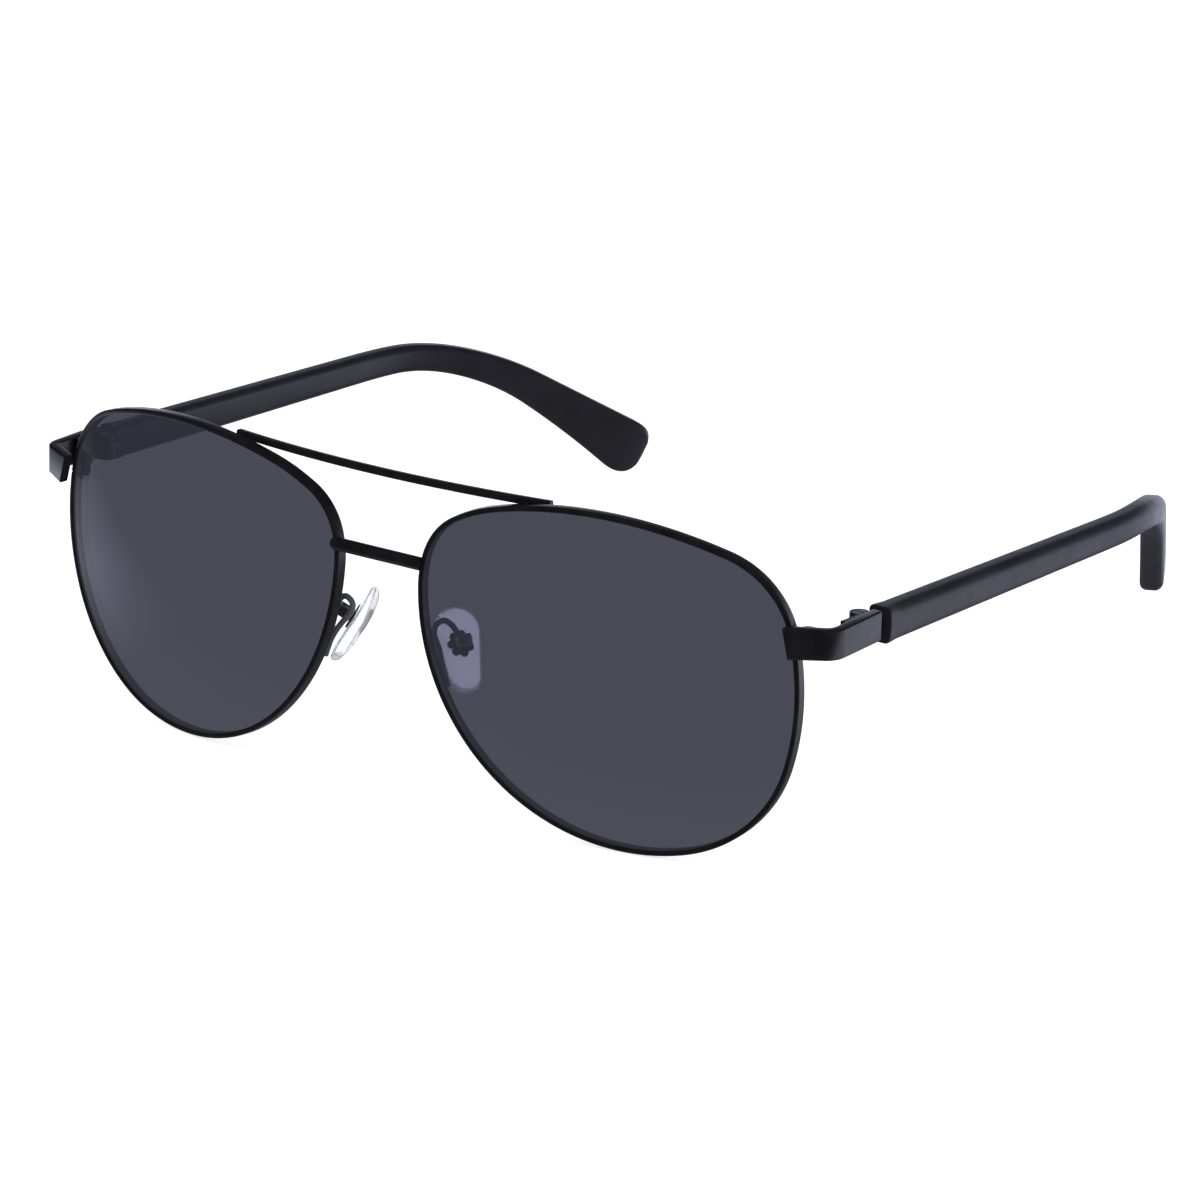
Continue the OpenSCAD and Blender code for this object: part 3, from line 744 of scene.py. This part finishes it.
BACKDROP = (0.24, 0.24, 0.24)    # what shows behind a lens
# Painted reflections: polished pieces mirror these set tones in place of the lit floor and surroundings.
PAINTED_PALE_REFLECTION, PAINTED_DARK_REFLECTION = (1.15, 1.15, 1.4), (0.012, 0.012, 0.016)    # what polished pieces mirror
FLOOR_REACH, FLOOR_GAP = 4.0, 0.0002    # in metres


def painted_studio_reflection(nodes, links, direction):
    """The painted reflection that a polished piece mirrors that way: a pale sweep low down and behind, dark
    in front.
    """
    height = nodes.new("ShaderNodeVectorMath")
    height.operation = "DOT_PRODUCT"
    links.new(direction, height.inputs[0])
    height.inputs[1].default_value = (0, 0.6, -1)
    return map_range(nodes, links, height.outputs["Value"], 0, 1, 0.14, 0.42)


def mirror_ray(nodes, links, rays):
    """1 for a ray that left a polished face, 0 for one that passed through it."""
    through = compare(nodes, links, rays.outputs["Is Transmission Ray"], "LESS_THAN", 0.5)
    return compare(nodes, links, rays.outputs["Is Glossy Ray"], "MULTIPLY", through)


def floor_finish():
    """Pale and matt. Seen through a lens it is a mid grey, and polished pieces mirror a painted sweep with a
    painted shadow under and round the glasses.
    """
    mat, nodes, links, bsdf = new_material("pale_floor")
    nodes.remove(bsdf)
    pale = nodes.new("ShaderNodeBsdfDiffuse")
    pale.inputs["Color"].default_value = (0.4, 0.4, 0.4, 1)
    glow = nodes.new("ShaderNodeEmission")
    glow.inputs["Strength"].default_value = 0.75
    lit = nodes.new("ShaderNodeAddShader")
    links.new(pale.outputs["BSDF"], lit.inputs[0])
    links.new(glow.outputs["Emission"], lit.inputs[1])
    rays = nodes.new("ShaderNodeLightPath")
    geometry = nodes.new("ShaderNodeNewGeometry")
    away = nodes.new("ShaderNodeVectorMath")
    away.operation = "SCALE"
    away.inputs["Scale"].default_value = -1
    links.new(geometry.outputs["Incoming"], away.inputs[0])
    place = nodes.new("ShaderNodeSeparateXYZ")
    links.new(geometry.outputs["Position"], place.inputs["Vector"])
    # Painted shadow: near the glasses (|x| under 0.12 m, y under 0.19 m) the mirrored sweep is painted
    # darker, down to 0.15 of its pale share.
    aside = compare(nodes, links, place.outputs["X"], "ABSOLUTE", 0.0)
    beside = map_range(nodes, links, aside, 0.15, 1, 0.07, 0.12)
    behind = map_range(nodes, links, place.outputs["Y"], 0.15, 1, 0.15, 0.19)
    outside_painted_shadow = compare(nodes, links, beside, "MAXIMUM", behind)
    share = painted_studio_reflection(nodes, links, away.outputs["Vector"])
    # painted reflection: polished pieces see this set sweep with its painted shadow, not the lit floor
    sweep = pick(nodes, links, compare(nodes, links, share, "MULTIPLY", outside_painted_shadow), PAINTED_DARK_REFLECTION, PAINTED_PALE_REFLECTION)
    plain = nodes.new("ShaderNodeEmission")
    through = seen_through(nodes, links, rays)
    links.new(pick(nodes, links, through, sweep, BACKDROP), plain.inputs["Color"])
    mix = nodes.new("ShaderNodeMixShader")
    links.new(compare(nodes, links, through, "MAXIMUM", mirror_ray(nodes, links, rays)), mix.inputs["Fac"])
    links.new(lit.outputs["Shader"], mix.inputs[1])
    links.new(plain.outputs["Emission"], mix.inputs[2])
    links.new(mix.outputs["Shader"], nodes["Material Output"].inputs["Surface"])
    return mat


def stage_floor():
    """A square floor just under the lowest piece."""
    low = cad_box[0][2] - FLOOR_GAP
    corners = [(-1, -1), (1, -1), (1, 1), (-1, 1)]
    mesh = bpy.data.meshes.new("floor")
    mesh.from_pydata([(x * FLOOR_REACH, y * FLOOR_REACH, low) for x, y in corners], [], [(0, 1, 2, 3)])
    obj = bpy.data.objects.new("floor", mesh)
    bpy.context.scene.collection.objects.link(obj)
    obj.data.materials.append(floor_finish())


def studio_world():
    """Soft grey surroundings that show white to the camera and a painted reflection to polished pieces."""
    world = bpy.data.worlds.new("studio")
    world.use_nodes = True
    nodes, links = world.node_tree.nodes, world.node_tree.links
    rays = nodes.new("ShaderNodeLightPath")
    # painted reflection: polished pieces mirror the set sweep, not these grey surroundings
    share = painted_studio_reflection(nodes, links, nodes.new("ShaderNodeTexCoord").outputs["Generated"])
    mirrored = pick(nodes, links, share, PAINTED_DARK_REFLECTION, PAINTED_PALE_REFLECTION)
    tone = pick(nodes, links, mirror_ray(nodes, links, rays), (0.6, 0.6, 0.62), mirrored)
    tone = pick(nodes, links, rays.outputs["Is Camera Ray"], tone, (1, 1, 1))
    tone = pick(nodes, links, seen_through(nodes, links, rays), tone, BACKDROP)
    links.new(tone, nodes["Background"].inputs["Color"])
    bpy.context.scene.world = world


def softbox(name, place, target, size, watts):
    light = bpy.data.lights.new(name, "AREA")
    light.shape = "RECTANGLE"
    light.size, light.size_y = size
    light.energy = watts
    obj = bpy.data.objects.new(name, light)
    obj.location = place
    obj.rotation_euler = (Vector(target) - Vector(place)).to_track_quat("-Z", "Y").to_euler()
    obj.visible_glossy = False
    bpy.context.scene.collection.objects.link(obj)


def studio_camera():
    """A long lens, above and to the wearer's left of the front."""
    azimuth, elevation, roll = math.radians(36.85), math.radians(16.69), math.radians(1.48)
    distance, target = 789.92, Vector((40.66, -0.4, 0.97))
    away = Vector((math.sin(azimuth) * math.cos(elevation), -math.cos(azimuth) * math.cos(elevation),
                   math.sin(elevation)))
    right = Vector((math.cos(azimuth), math.sin(azimuth), 0))
    up = away.cross(right)
    across = right * math.cos(roll) + up * math.sin(roll)
    upright = -right * math.sin(roll) + up * math.cos(roll)
    data = bpy.data.cameras.new("camera")
    data.sensor_width = 36
    data.lens = 168.54
    data.clip_start = 0.01
    obj = bpy.data.objects.new("camera", data)
    bpy.context.scene.collection.objects.link(obj)
    spin = Matrix((across, upright, away)).transposed().to_4x4()
    obj.matrix_world = Matrix.Translation((target + away * distance) * MM) @ spin
    bpy.context.scene.camera = obj


stage_floor()
studio_world()
softbox("key", (0.5, -0.5, 0.8), (0, 0.03, 0), (0.7, 0.7), 9)
softbox("side", (1.1, 0.3, 0.35), (0.05, 0.05, 0), (0.8, 0.5), 7)
softbox("left", (-0.9, -0.4, 0.6), (0, 0.03, 0), (0.6, 0.6), 6)
studio_camera()
bpy.context.scene.view_settings.view_transform = "Standard"
